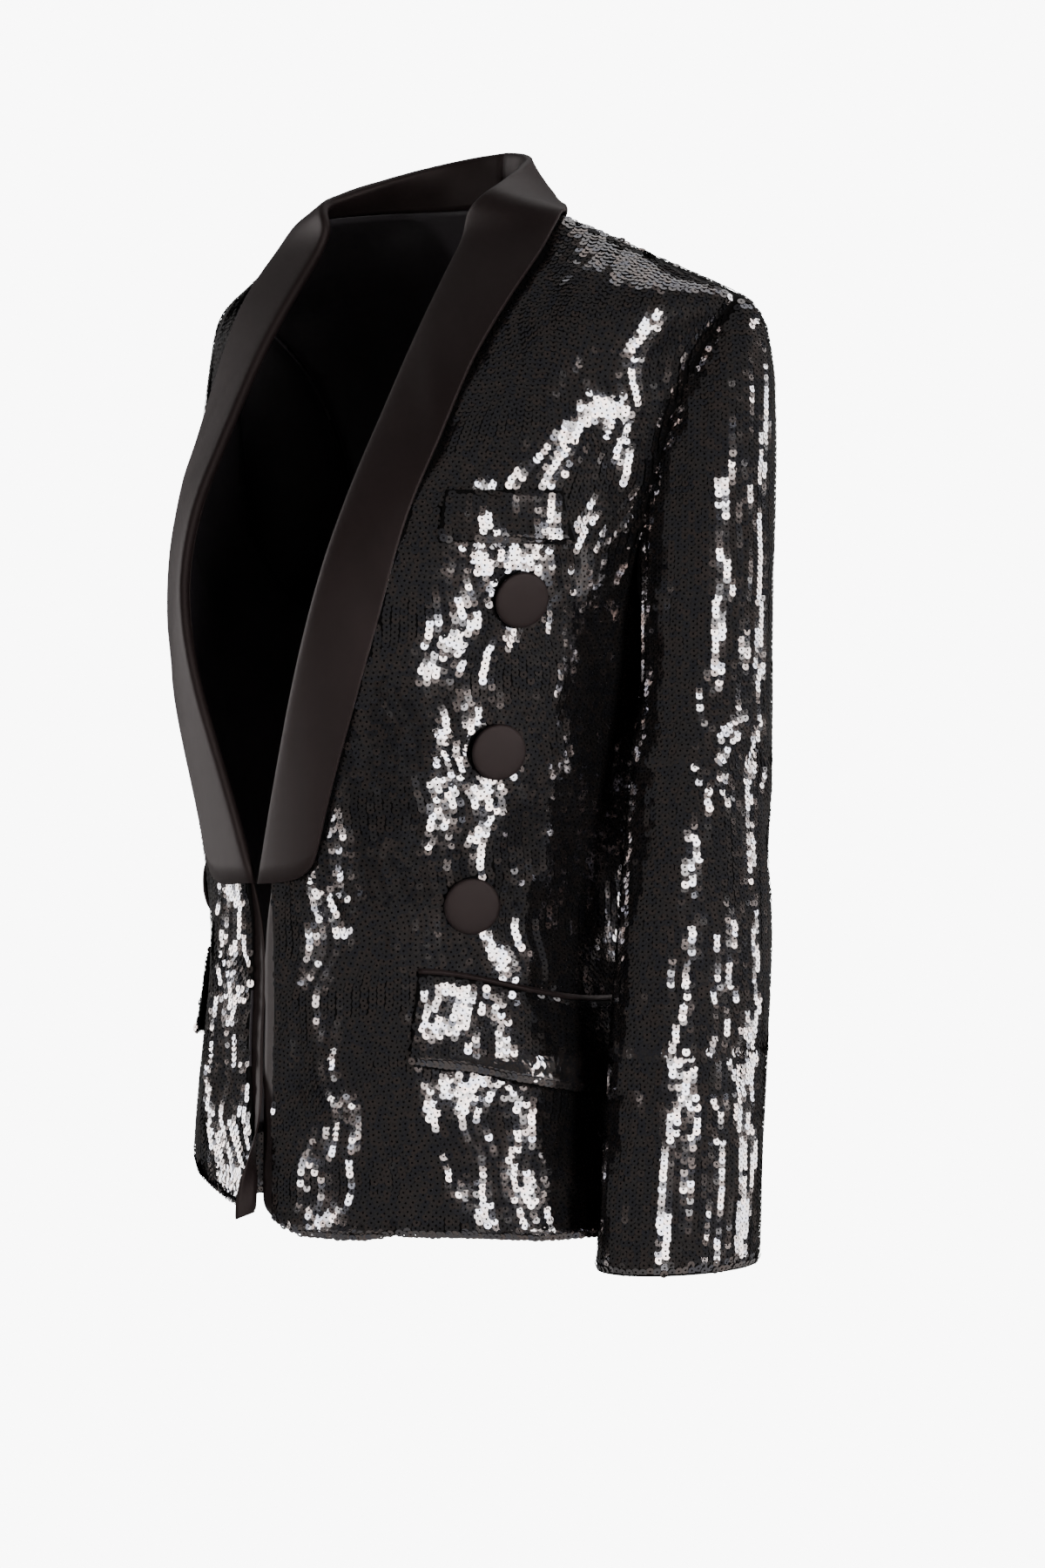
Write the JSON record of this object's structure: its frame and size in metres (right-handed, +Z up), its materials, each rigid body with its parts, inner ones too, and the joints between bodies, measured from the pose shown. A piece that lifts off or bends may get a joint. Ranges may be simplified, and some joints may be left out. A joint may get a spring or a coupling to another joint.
{
  "type": "blazer",
  "caption": "Woman's hip-length blazer in black sequinned cloth with a deep satin shawl collar, covered buttons, flap pockets and a breast welt, hollow as when worn.",
  "frame": {"origin": "midway between the two shoulder lines, level with the collar's outer edge on them, where the wearer's shoulders hold it", "axes": "+Z up, -Y the front, +X the wearer's left"},
  "size_m": [0.483, 0.3145, 0.663],
  "materials": {
    "sequinned_cloth": "black cloth covered with glossy black sequins",
    "satin": "black satin with a soft sheen",
    "covered_button": "black satin drawn over a button"
  },
  "bodies": {
    "root": {"back_left": "sequinned_cloth", "back_right": "sequinned_cloth", "breast_welt": "sequinned_cloth", "button_left_1": "covered_button", "button_left_2": "covered_button", "button_left_3": "covered_button", "button_right_1": "covered_button", "button_right_2": "covered_button", "button_right_3": "covered_button", "collar_left": "satin", "collar_right": "satin", "facing_left": "satin", "facing_right": "satin", "flap_left": "sequinned_cloth", "flap_right": "sequinned_cloth", "front_left": "sequinned_cloth", "front_right": "sequinned_cloth", "jet_left": "satin", "jet_right": "satin", "sleeve_left": "sequinned_cloth", "sleeve_right": "sequinned_cloth"}
  },
  "joints": []
}
